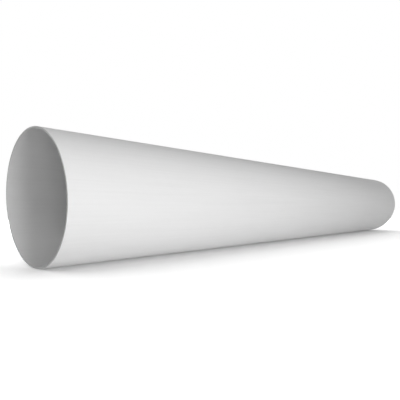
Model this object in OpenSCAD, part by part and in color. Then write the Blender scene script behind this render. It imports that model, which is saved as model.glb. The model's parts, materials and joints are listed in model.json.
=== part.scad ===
// Round ventilation pipe: one straight length of thin-walled rigid plastic duct,
// cut square at both ends, lying on its side.
//
// Frame: the pipe's axis runs along X, +Z is up, and the origin is on the floor,
// under the middle of the pipe. Millimetres.

/* [Pipe] */
// Outside diameter, over which the socket of a fitting slides
outer_d = 150; // [80:1:400]
// Thickness of the wall
wall_t = 2; // [1.2:0.1:6]
// Length from cut end to cut end
pipe_l = 1000; // [250:10:3000]

/* [Cut ends] */
// Width of the chamfer that deburring leaves on the inner and outer edges of each end
edge_break = 0.3; // [0.1:0.05:0.5]

/* [Hidden] */

outer_r = outer_d / 2;
bore_r = outer_r - wall_t;
half_l = pipe_l / 2;

// Segments that round faces are drawn with
$fn = 180;

// Half section of the wall: radius along X, length along Y, all four corners broken
module wall_section() {
    polygon([
        [bore_r + edge_break, -half_l],
        [outer_r - edge_break, -half_l],
        [outer_r, -half_l + edge_break],
        [outer_r, half_l - edge_break],
        [outer_r - edge_break, half_l],
        [bore_r + edge_break, half_l],
        [bore_r, half_l - edge_break],
        [bore_r, -half_l + edge_break],
    ]);
}

// The pipe: its wall turned about the axis, then laid down on the floor
module pipe() {
    color("whitesmoke")
        translate([0, 0, outer_r])
            rotate([0, 90, 0])
                rotate_extrude()
                    wall_section();
}

pipe();
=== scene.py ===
# %% [markdown]
# # A white ventilation pipe
#
# The object is one straight length of round plastic duct, the kind that carries air from a bathroom
# or cooker fan to the outside wall. It is extruded from white PVC, so its wall is thin, even and
# smooth, and it is sawn to length, so each end is a flat ring with its sharp edges scraped off.
#
# There is only this one piece to make. The work goes into three things that make such a plain
# object look real: a truly round wall with fine edges, the faint marks that the extruder and the saw
# leave on the plastic, and light soft enough to let the white surface show its roundness.

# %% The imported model
import json
import math

import bpy
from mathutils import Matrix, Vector


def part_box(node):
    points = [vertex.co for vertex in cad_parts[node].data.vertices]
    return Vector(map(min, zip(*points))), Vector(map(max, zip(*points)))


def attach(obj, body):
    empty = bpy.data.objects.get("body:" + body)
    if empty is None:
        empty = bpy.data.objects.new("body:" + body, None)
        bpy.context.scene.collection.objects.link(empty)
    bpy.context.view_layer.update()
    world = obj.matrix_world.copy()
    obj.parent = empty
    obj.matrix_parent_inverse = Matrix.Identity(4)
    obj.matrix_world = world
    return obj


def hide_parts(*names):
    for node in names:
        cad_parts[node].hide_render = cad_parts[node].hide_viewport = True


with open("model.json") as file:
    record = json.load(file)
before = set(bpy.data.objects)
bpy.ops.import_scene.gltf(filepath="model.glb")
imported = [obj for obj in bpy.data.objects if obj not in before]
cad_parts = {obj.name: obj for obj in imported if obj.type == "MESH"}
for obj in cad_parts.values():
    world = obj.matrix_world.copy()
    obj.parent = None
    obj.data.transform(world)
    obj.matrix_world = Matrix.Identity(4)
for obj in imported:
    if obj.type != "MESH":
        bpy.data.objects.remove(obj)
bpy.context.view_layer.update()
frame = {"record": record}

# %% [markdown]
# ## Sizes
#
# Nothing is measured twice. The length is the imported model's own, and the two radii are those of the
# record's mounts: the outside is what a fitting's socket slides over, and the bore is what a fan's or
# a grille's spigot slides into. Their difference is the wall. The pipe lies along X on the floor, so
# its axis is one outside radius up. Only the width of the scraped edges is given here.

# %% Sizes in metres
MM = 0.001

low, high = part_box("pipe")
mounts = {mount["name"]: mount for mount in frame["record"]["mounts"]}
outer_radius = mounts["spigot_left"]["dims"]["r_mm"] * MM
bore_radius = mounts["bore_left"]["dims"]["r_mm"] * MM
wall = outer_radius - bore_radius
length = high.x - low.x
half_length = length / 2
outer_diameter = 2 * outer_radius
edge_break = 0.3 * MM
print(f"pipe {length:.3f} m long, {outer_diameter:.3f} m across, wall {wall / MM:.1f} mm")

# %% [markdown]
# ## Camera
#
# The camera comes first, because every later choice is judged through it. It stands close to the
# left end and just below the height of the axis, so that the near opening is large and the far end
# shrinks to a third of its size. All its distances are counted in pipe diameters from the middle of
# the near opening. The lens is moderately wide. Its shift does what a view camera's rising front
# does: the frame takes in more above the pipe than below, while upright lines stay upright.

# %% Camera
near_end = Vector((-half_length, 0, outer_radius))
HEADING = math.radians(43.0)
DIP = math.radians(4.5)
BACK, ASIDE, BELOW = 2.667, 1.182, 0.067
LENS_MM = 33.75
SENSOR_MM = 36
RISE = 0.0944
NEAREST_SEEN = 0.01

up = Vector((0, 0, 1))
ahead = Vector((math.cos(HEADING), math.sin(HEADING), 0))
rightward = ahead.cross(up)

camera_data = bpy.data.cameras.new("camera")
camera_data.sensor_width = SENSOR_MM
camera_data.lens = LENS_MM
camera_data.shift_y = RISE
camera_data.clip_start = NEAREST_SEEN
camera = bpy.data.objects.new("camera", camera_data)
camera.location = near_end + outer_diameter * (ASIDE * rightward - BACK * ahead - BELOW * up)
line_of_sight = math.cos(DIP) * ahead - math.sin(DIP) * up
camera.rotation_euler = line_of_sight.to_track_quat("-Z", "Y").to_euler()
bpy.context.scene.collection.objects.link(camera)
bpy.context.scene.camera = camera
print("camera at", [round(c, 3) for c in camera.location])

# %% [markdown]
# ## A shorthand for node trees
#
# Both the pipe's shape and its finish are built from nodes. Written out one call at a time, a tree
# is long and hides its own arithmetic, so two small classes carry the load. `Nodes.add` makes any
# node from its type, its settings and what goes into its sockets. `Value` wraps an output socket
# and gives it the signs of arithmetic, so that `1 - mask` adds the Math node that it means.

# %% Values and nodes
class Value:
    """An output socket that can be reckoned with: each operator adds one Math node."""

    def __init__(self, nodes, socket):
        self.nodes = nodes
        self.socket = socket

    def math(self, operation, *others):
        inputs = dict(enumerate((self, *others)))
        return self.nodes.add("ShaderNodeMath", {"operation": operation}, inputs)

    def __add__(self, other):
        return self.math("ADD", other)

    def __sub__(self, other):
        return self.math("SUBTRACT", other)

    def __rsub__(self, other):
        return self.nodes.add("ShaderNodeMath", {"operation": "SUBTRACT"}, {0: other, 1: self})

    def __mul__(self, other):
        return self.math("MULTIPLY", other)

    def __truediv__(self, other):
        return self.math("DIVIDE", other)

    def __pow__(self, other):
        return self.math("POWER", other)

    def __gt__(self, other):
        return self.math("GREATER_THAN", other)

    def __lt__(self, other):
        return self.math("LESS_THAN", other)

    __radd__ = __add__
    __rmul__ = __mul__


class Nodes:
    """Writes one node tree, for a material or for geometry."""

    def __init__(self, tree):
        self.tree = tree
        self.tree.nodes.clear()

    def add(self, kind, settings=None, inputs=None, output=0):
        """Makes a node, sets it, fills its sockets and returns the wanted output as a Value."""
        node = self.tree.nodes.new(kind)
        for name, setting in (settings or {}).items():
            setattr(node, name, setting)
        for key, value in (inputs or {}).items():
            socket = self.find(node.inputs, key)
            if isinstance(value, Value):
                self.tree.links.new(value.socket, socket)
            else:
                socket.default_value = value
        if not node.outputs:
            return node
        return Value(self, self.find(node.outputs, output))

    @staticmethod
    def find(sockets, key):
        """The socket at a position, or the one of that name which the node's settings leave in use."""
        if isinstance(key, int):
            return [socket for socket in sockets if not socket.is_unavailable][key]
        return next(s for s in sockets if s.name == key and not s.is_unavailable)


print("nodes are added by Nodes.add, and reckoned with as Values")

# %% [markdown]
# ## The wall, as a tree with named sizes
#
# A pipe could be a cylinder with a Solidify modifier, but then its two edges would be knife sharp,
# and sharp edges never catch the light. An extruded and sawn wall has an exact section: a strip as
# long as the pipe and as thick as the wall, with its four corners broken by the deburring tool. So
# the section is drawn once, and a node tree carries it round the axis, as a lathe would.
#
# The tree takes its sizes as named inputs, so the same tree would turn any other pipe. Its circle
# has enough sides that no corner shows in the outline, even from close by.

# %% Inputs of the tree
SIDES = 256
RINGS = 48
EDGE_FACETS = 2
SHARP = math.radians(15)

wall_tree = bpy.data.node_groups.new("turned_wall", "GeometryNodeTree")
wall_tree.interface.new_socket("Mesh", in_out="OUTPUT", socket_type="NodeSocketGeometry")
WALL_INPUTS = {
    "Length": ("NodeSocketFloat", length),
    "Outside Diameter": ("NodeSocketFloat", outer_diameter),
    "Wall": ("NodeSocketFloat", wall),
    "Edge Break": ("NodeSocketFloat", edge_break),
    "Sides": ("NodeSocketInt", SIDES),
    "Rings": ("NodeSocketInt", RINGS),
}
wall_sockets = {
    name: wall_tree.interface.new_socket(name, in_out="INPUT", socket_type=kind)
    for name, (kind, _) in WALL_INPUTS.items()
}
material_socket = wall_tree.interface.new_socket(
    "Material", in_out="INPUT", socket_type="NodeSocketMaterial"
)

geo = Nodes(wall_tree)
given = geo.add("NodeGroupInput").socket.node
size = {name: Value(geo, given.outputs[name]) for name in (*WALL_INPUTS, "Material")}
print("the tree takes", ", ".join(size))

# %% [markdown]
# ## The section
#
# The strip starts as a rectangle. Fillet Curve cuts its four corners, which are the broken edges.
# Its two long sides are then divided, so that the finished pipe has rings along its length and no
# face is needlessly long. A side is a long one when the next point of the curve is more than half
# the pipe away, so the tree measures that distance at every point and divides only there.

# %% The strip that gets turned
section = geo.add(
    "GeometryNodeCurvePrimitiveQuadrilateral",
    {"mode": "RECTANGLE"},
    {"Width": size["Wall"], "Height": size["Length"]},
)
section = geo.add(
    "GeometryNodeFilletCurve",
    {"mode": "POLY"},
    {"Curve": section, "Count": EDGE_FACETS, "Radius": size["Edge Break"], "Limit Radius": True},
)
here = geo.add("GeometryNodeInputPosition")
next_index = geo.add("GeometryNodeOffsetPointInCurve", None, {"Offset": 1}, "Point Index")
following = geo.add(
    "GeometryNodeFieldAtIndex",
    {"data_type": "FLOAT_VECTOR", "domain": "POINT"},
    {"Value": here, "Index": next_index},
)
gap = geo.add("ShaderNodeVectorMath", {"operation": "DISTANCE"}, {0: here, 1: following}, "Value")
long_side = gap > size["Length"] / 2
section = geo.add(
    "GeometryNodeSubdivideCurve", None, {"Curve": section, "Cuts": long_side * (size["Rings"] - 1)}
)
print("the section has its corners broken and its long sides divided")

# %% [markdown]
# ## Once round the axis
#
# Curve to Mesh carries the strip along a circle that runs in the middle of the wall. The result
# stands upright, so it is laid down along X and raised until it rests on the floor. Every face
# shades as part of one smooth round, and only the edges that bend sharply, at the broken corners,
# are marked to stay crisp.

# %% Turning, laying down and shading
middle_of_wall = (size["Outside Diameter"] - size["Wall"]) / 2
path = geo.add(
    "GeometryNodeCurvePrimitiveCircle",
    {"mode": "RADIUS"},
    {"Resolution": size["Sides"], "Radius": middle_of_wall},
)
mesh = geo.add("GeometryNodeCurveToMesh", None, {"Curve": path, "Profile Curve": section})
on_floor = geo.add("ShaderNodeCombineXYZ", None, {"Z": size["Outside Diameter"] / 2})
LAID_ALONG_X = (0, math.pi / 2, 0)
mesh = geo.add(
    "GeometryNodeTransform",
    None,
    {"Geometry": mesh, "Translation": on_floor, "Rotation": LAID_ALONG_X},
)
bend = geo.add("GeometryNodeInputMeshEdgeAngle", None, None, "Unsigned Angle")
mesh = geo.add("GeometryNodeSetShadeSmooth", {"domain": "FACE"}, {"Geometry": mesh})
mesh = geo.add(
    "GeometryNodeSetShadeSmooth",
    {"domain": "EDGE"},
    {"Geometry": mesh, "Selection": bend > SHARP, "Shade Smooth": False},
)
mesh = geo.add("GeometryNodeRealizeInstances", None, {"Geometry": mesh})
mesh = geo.add("GeometryNodeSetMaterial", None, {"Geometry": mesh, "Material": size["Material"]})
geo.add("NodeGroupOutput", None, {"Mesh": mesh})
print(f"the tree has {len(wall_tree.nodes)} nodes")

# %% [markdown]
# ## White PVC
#
# Rigid PVC filled with white pigment is an opaque, satin plastic. Its colour is neutral and gives
# back most of the light, but it is never one even tone. The extruder, the saw and the hands that
# carried the pipe have all left something, and each of these marks follows its own direction.
#
# So the finish needs to know where on the pipe it is. Object coordinates give the place in metres,
# and a Mapping node lowers them by one radius, which puts zero on the pipe's axis. From there the
# distance to the axis tells the bore from the outside, and the distance along it finds the two
# sawn ends.

# %% Where on the pipe a point lies
white_pvc = bpy.data.materials.new("extruded_white_pvc")
white_pvc.use_nodes = True
pvc = Nodes(white_pvc.node_tree)

coordinates = pvc.add("ShaderNodeTexCoord", None, None, "Object")
about_axis = pvc.add(
    "ShaderNodeMapping", None, {"Vector": coordinates, "Location": (0, 0, -outer_radius)}
)
parts = pvc.add("ShaderNodeSeparateXYZ", None, {"Vector": about_axis}).socket.node
along, across, height = (Value(pvc, output) for output in parts.outputs)
radius = (across * across + height * height).math("SQRT")
in_bore = radius < (outer_radius + bore_radius) / 2
sawn = along.math("ABSOLUTE") > half_length - edge_break
print("masks for the bore and the sawn ends")

# %% [markdown]
# ## Marks of the extruder
#
# The plastic leaves the die still soft. Every tiny nick in the die draws a hair-fine line down the
# whole pipe, and pigment that is not quite evenly mixed draws broader, fainter bands. Both are a
# noise that is stretched fifty times along the pipe. Because it is read at the surface's own place
# in space, there is no seam where it would meet itself. The wall then cools a little unevenly, so
# the surface swims very slightly, which is a broad noise with no direction.

# %% Die lines, flow bands and swim
LENGTHWISE = (0.02, 1, 1)
DIE_LINE_SCALE, FLOW_BAND_SCALE, SWIM_SCALE = 420, 75, 9
DIE_LINE_DETAIL, FLOW_BAND_DETAIL, SWIM_DETAIL = 3, 2, 2
MEAN_NOISE = 0.5


def noise(place, scale, detail):
    """A smooth random value about MEAN_NOISE: its features a metre, and its layers of fine detail."""
    return pvc.add("ShaderNodeTexNoise", None, {"Vector": place, "Scale": scale, "Detail": detail})


def stretched(factors):
    """The place on the pipe, squeezed so that a pattern read there comes out stretched."""
    return pvc.add("ShaderNodeMapping", None, {"Vector": about_axis, "Scale": factors})


drawn = stretched(LENGTHWISE)
die_lines = noise(drawn, DIE_LINE_SCALE, DIE_LINE_DETAIL) - MEAN_NOISE
flow_bands = noise(drawn, FLOW_BAND_SCALE, FLOW_BAND_DETAIL) - MEAN_NOISE
swim = noise(about_axis, SWIM_SCALE, SWIM_DETAIL) - MEAN_NOISE
print(f"die lines {1 / (DIE_LINE_SCALE * MM):.1f} mm apart, bands {1 / (FLOW_BAND_SCALE * MM):.0f} mm")

# %% [markdown]
# ## Marks of hands and saw
#
# A pipe that has been carried and stacked has a few short rubbed spots outside, longer along the
# pipe than round it. They are the highest peaks of a noise: everything below a threshold is cut
# off, and the rest is made steep. The saw leaves fine parallel ridges on the two end rings, which a
# slightly wavering Wave texture gives.

# %% Rubbed spots and saw ridges
RUB_STRETCH = (0.25, 1, 1)
RUB_SCALE, RUB_DETAIL, RUB_THRESHOLD, RUB_STEEPNESS = 60, 4, 0.66, 5
RIDGE_SCALE, RIDGE_WAVER, RIDGE_DETAIL = 260, 3, 2

peaks = (noise(stretched(RUB_STRETCH), RUB_SCALE, RUB_DETAIL) - RUB_THRESHOLD) * RUB_STEEPNESS
rubbed = peaks.math("MAXIMUM", 0).math("MINIMUM", 1) * (1 - in_bore) * (1 - sawn)
saw_ridges = pvc.add(
    "ShaderNodeTexWave",
    {"wave_type": "BANDS", "bands_direction": "Y"},
    {
        "Vector": about_axis,
        "Scale": RIDGE_SCALE,
        "Distortion": RIDGE_WAVER,
        "Detail": RIDGE_DETAIL,
    },
    "Fac",
)
print(f"rubbed spots where the noise passes {RUB_THRESHOLD}")

# %% [markdown]
# ## Colour
#
# There are three whites. The outside is the plastic as it left the die, and it takes the white that
# the imported record gives. The bore cooled without touching anything, so it is a shade duller. The
# sawn rings are painted plainly greyer, and that grey is painted shade, which stands for the fine
# shadows between the saw's ridges. A tone near 1 is then multiplied in, with the extruder's lines
# the strongest in it, though even they change the white by less than one part in fifty.

# %% The three whites
finishes = {material["slot"]: material for material in frame["record"]["materials"]}
WHITE = (*finishes["white_pvc"]["base_color"], 1)
BORE_WHITE = (0.845, 0.845, 0.845, 1)
# The sawn rings' grey is painted shade for the shadows of the saw's ridges, not the plastic's own
# colour.
SAWN_SHADE_GREY = (0.700, 0.700, 0.696, 1)
DIE_TONE, FLOW_TONE, SWIM_TONE, RUB_TONE = 0.06, 0.03, 0.02, 0.015


def mix_colour(factor, first, second, blend="MIX"):
    """The first colour where the factor is 0, and the second blended in where it is 1."""
    settings = {"data_type": "RGBA", "blend_type": blend}
    return pvc.add("ShaderNodeMix", settings, {"Factor": factor, "A": first, "B": second})


colour = mix_colour(in_bore, WHITE, BORE_WHITE)
# Painted shade: the sawn rings take the darker grey.
colour = mix_colour(sawn, colour, SAWN_SHADE_GREY)
tone = 1 - DIE_TONE * die_lines - FLOW_TONE * flow_bands - SWIM_TONE * swim - RUB_TONE * rubbed
tint = pvc.add("ShaderNodeCombineColor", None, {"Red": tone, "Green": tone, "Blue": tone})
colour = mix_colour(1.0, colour, tint, "MULTIPLY")
print("outside white", WHITE[:3], "bore", BORE_WHITE[:3], "sawn ends", SAWN_SHADE_GREY[:3])

# %% [markdown]
# ## Roughness and relief
#
# The satin look comes from a fairly high roughness, which spreads every reflection into a soft
# sheen. The lines make that sheen streaky, and the rubbed spots are duller. Relief is only a few
# hundredths of a millimetre, too fine to be worth any geometry, so it goes through a Bump node.
#
# The specular level says how much of the plastic's own reflection is kept, where 0.5 is all that
# its index of refraction gives. Extruded PVC has a fine matt skin, whose bumps hide one another at
# a flat angle, so less is kept here and the upper edge of the pipe does not glare.

# %% How it shines
WALL_ROUGHNESS = 0.66
BORE_ROUGHNESS = 0.68
SAWN_ROUGHNESS = 0.72
DIE_DULLING, SWIM_DULLING, RUB_DULLING = 0.20, 0.08, 0.10
DIE_DEPTH, SWIM_DEPTH, RIDGE_DEPTH = 0.015 * MM, 0.05 * MM, 0.04 * MM
PVC_IOR = 1.53
SKIN_SPECULAR = 0.3

smooth = WALL_ROUGHNESS + (BORE_ROUGHNESS - WALL_ROUGHNESS) * in_bore
smooth = smooth + DIE_DULLING * die_lines + SWIM_DULLING * swim + RUB_DULLING * rubbed
roughness = smooth + (SAWN_ROUGHNESS - smooth) * sawn

relief = DIE_DEPTH * die_lines + SWIM_DEPTH * swim
relief = relief * (1 - sawn) + RIDGE_DEPTH * saw_ridges * sawn
bump = pvc.add("ShaderNodeBump", None, {"Height": relief, "Distance": 1.0, "Strength": 1.0})

shader = pvc.add(
    "ShaderNodeBsdfPrincipled",
    None,
    {
        "Base Color": colour,
        "Roughness": roughness,
        "Normal": bump,
        "IOR": PVC_IOR,
        "Specular IOR Level": SKIN_SPECULAR,
    },
)
pvc.add("ShaderNodeOutputMaterial", None, {"Surface": shader})
print(f"the finish has {len(white_pvc.node_tree.nodes)} nodes")

# %% [markdown]
# ## The pipe
#
# The tree hangs on an empty mesh. Its inputs are set by the sockets' identifiers before anything is
# evaluated, and the result is then taken as a plain mesh, so that nothing stays live. The volume is
# printed, and it must be positive, which says that the faces point outwards.

# %% From tree to mesh
carrier = bpy.data.objects.new("wall_carrier", bpy.data.meshes.new("empty"))
bpy.context.scene.collection.objects.link(carrier)
turning = carrier.modifiers.new("turned_wall", "NODES")
turning.node_group = wall_tree
for name, (_, value) in WALL_INPUTS.items():
    turning[wall_sockets[name].identifier] = value
turning[material_socket.identifier] = white_pvc
depsgraph = bpy.context.evaluated_depsgraph_get()
pipe_mesh = bpy.data.meshes.new_from_object(carrier.evaluated_get(depsgraph))
bpy.data.objects.remove(carrier)

pipe = bpy.data.objects.new("pipe_wall", pipe_mesh)
bpy.context.scene.collection.objects.link(pipe)
LITRES_IN_CUBIC_METRE = 1000
TETRAHEDRA_IN_BOX = 6


def litres(mesh):
    """The volume inside a closed mesh, positive where its faces point outwards.

    Each triangle and the origin span a tetrahedron, which is a sixth of the box on its edges.
    """
    boxes_together = 0.0
    mesh.calc_loop_triangles()
    for triangle in mesh.loop_triangles:
        a, b, c = (mesh.vertices[i].co for i in triangle.vertices)
        boxes_together += a.dot(b.cross(c))
    return boxes_together / TETRAHEDRA_IN_BOX * LITRES_IN_CUBIC_METRE


print(f"{len(pipe_mesh.polygons)} faces round {litres(pipe_mesh):.3f} litre of plastic")
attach(pipe, "root")
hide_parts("pipe")

# %% [markdown]
# ## White surroundings
#
# A catalogue picture stands its object on pure white. The world gives that white to the rays that
# come from the camera or from a reflection, and to those alone, so the surroundings look white
# without pouring light on the object. Light Path tells the kinds of ray apart. All other rays find
# only a low, even light, which keeps the darkest places from going black.

# %% The world
WORLD_LEVEL = 0.12
PURE_WHITE = (1, 1, 1, 1)


def kinds_of_ray(nodes):
    """Two masks: rays straight from the camera, and rays that gloss or glass sends on."""
    rays = nodes.add("ShaderNodeLightPath").socket.node
    names = ("Is Camera Ray", "Is Glossy Ray", "Is Transmission Ray")
    camera_ray, glossy, through = (Value(nodes, rays.outputs[name]) for name in names)
    return camera_ray, glossy + through


world = bpy.data.worlds.new("white_studio")
world.use_nodes = True
bpy.context.scene.world = world
sky = Nodes(world.node_tree)
seen, mirrored = kinds_of_ray(sky)
white_seen = (seen + mirrored).math("MINIMUM", 1)
level = WORLD_LEVEL + (1 - WORLD_LEVEL) * white_seen
white_sky = sky.add("ShaderNodeBackground", None, {"Color": PURE_WHITE, "Strength": level})
sky.add("ShaderNodeOutputWorld", None, {"Surface": white_sky})
print(f"the world is white to the camera and {WORLD_LEVEL} to the object")

# %% [markdown]
# ## Floor
#
# The floor glows white too, but only as far as its view of the sky is open. Close to the pipe the
# view closes, so the glow fades, and that is the soft shadow which ties the pipe to the floor. The
# Ambient Occlusion node measures the open part, from 1 out in the open to 0 under the pipe.
#
# - A power makes the shadow deeper without making it wider, and the deepest part still keeps a
#   little glow, because no floor under a round pipe is quite black.
# - To reflections the floor is a plain pale grey, so the underside of the pipe does not shine.

# %% The floor
FLOOR_WHITE = (0.8, 0.8, 0.8, 1)
FLOOR_MIRRORED = 0.55
SHADOW_REACH = 0.5
SHADOW_DEPTH = 2.0
DEEPEST_GLOW = 0.12
FLOOR_RADIUS = 12.0
FLOOR_CORNERS = 64

floor_paint = bpy.data.materials.new("studio_floor")
floor_paint.use_nodes = True
paint = Nodes(floor_paint.node_tree)
seen, mirrored = kinds_of_ray(paint)
open_sky = paint.add("ShaderNodeAmbientOcclusion", None, {"Distance": SHADOW_REACH}, "AO")
shaded_glow = DEEPEST_GLOW + (1 - DEEPEST_GLOW) * open_sky ** SHADOW_DEPTH
level = shaded_glow * seen + FLOOR_MIRRORED * mirrored
glow = paint.add("ShaderNodeEmission", None, {"Color": PURE_WHITE, "Strength": level})
sheet = paint.add("ShaderNodeBsdfDiffuse", None, {"Color": FLOOR_WHITE})
both = paint.add("ShaderNodeAddShader", None, {0: glow, 1: sheet})
paint.add("ShaderNodeOutputMaterial", None, {"Surface": both})

bpy.ops.mesh.primitive_circle_add(
    vertices=FLOOR_CORNERS, radius=FLOOR_RADIUS, fill_type="NGON"
)
floor = bpy.context.object
floor.name = "studio_floor"
floor.data.materials.append(floor_paint)
print("the floor is", 2 * FLOOR_RADIUS, "m across")

# %% [markdown]
# ## Lamps
#
# Soft boxes stand low round the pipe, as in a product studio. Each is described by the level it
# gives: a lamp of level 1 shows a white face that looks straight at it, from the aiming point, as
# white. An area lamp spreads its power over a half-sphere and the light thins out with the square
# of the distance, which is where the energy below comes from.

# %% A soft box
LAMP_DISTANCE = 1.3


def softbox(name, azimuth, elevation, size, level, aim, distance=LAMP_DISTANCE):
    """A soft box of some width and height, seen from the aiming point in the given direction."""
    around, above = math.radians(azimuth), math.radians(elevation)
    outward = Vector(
        (math.sin(around) * math.cos(above), -math.cos(around) * math.cos(above), math.sin(above))
    )
    data = bpy.data.lights.new(name, "AREA")
    data.shape = "ELLIPSE"
    data.size, data.size_y = size
    data.energy = level * (math.pi * distance) ** 2
    lamp = bpy.data.objects.new(name, data)
    lamp.location = aim + distance * outward
    lamp.rotation_euler = (-outward).to_track_quat("-Z", "Y").to_euler()
    lamp.visible_camera = False
    bpy.context.scene.collection.objects.link(lamp)


print("a soft box is placed by azimuth, elevation and level")

# %% [markdown]
# ## Where the lamps stand
#
# The key and the fill are flat boxes that stand on the floor on the camera's side, so the wall is
# brightest along its middle and falls off evenly to its upper and lower edge, which is what shows
# that it is round. They aim at the near part, so the far end is dimmer and the pipe seems to run
# away from the eye. A weak lamp high on the left reaches into the near bore, and a strong low one
# does the same for the far bore, from a little behind that end, where it leaves the front alone.
# A faint one in front of that end keeps its wall from going dull. The one at the back is wide but
# narrow from top to bottom: it lights the whole back, and almost none of it comes over the top to
# the front.

# %% Six soft boxes
NEAR_SHARE = 0.3
near_part = Vector((-NEAR_SHARE * length, 0, outer_radius))
middle = Vector((0, 0, outer_radius))
right_end = Vector((half_length, 0, outer_radius))
BACK_DISTANCE = 1.8
ROUND_BOX = (0.6, 0.6)
FLAT_BOX = (0.6, 0.2)
STRIP_BOX = (1.4, 0.3)

softbox("key", azimuth=-8, elevation=2, size=FLAT_BOX, level=0.52, aim=near_part)
softbox("fill", azimuth=-35, elevation=4, size=FLAT_BOX, level=0.13, aim=near_part)
softbox("high_left", azimuth=-90, elevation=45, size=ROUND_BOX, level=0.12, aim=near_part)
softbox("right", azimuth=104, elevation=4, size=ROUND_BOX, level=0.72, aim=right_end)
softbox("front_right", azimuth=45, elevation=18, size=ROUND_BOX, level=0.03, aim=right_end)
softbox(
    "back", azimuth=180, elevation=13, size=STRIP_BOX, level=0.74, aim=middle, distance=BACK_DISTANCE
)

# %% [markdown]
# ## Picture colour
#
# The picture is left in plain Standard colour.

# %% Standard colour
bpy.context.scene.view_settings.view_transform = "Standard"
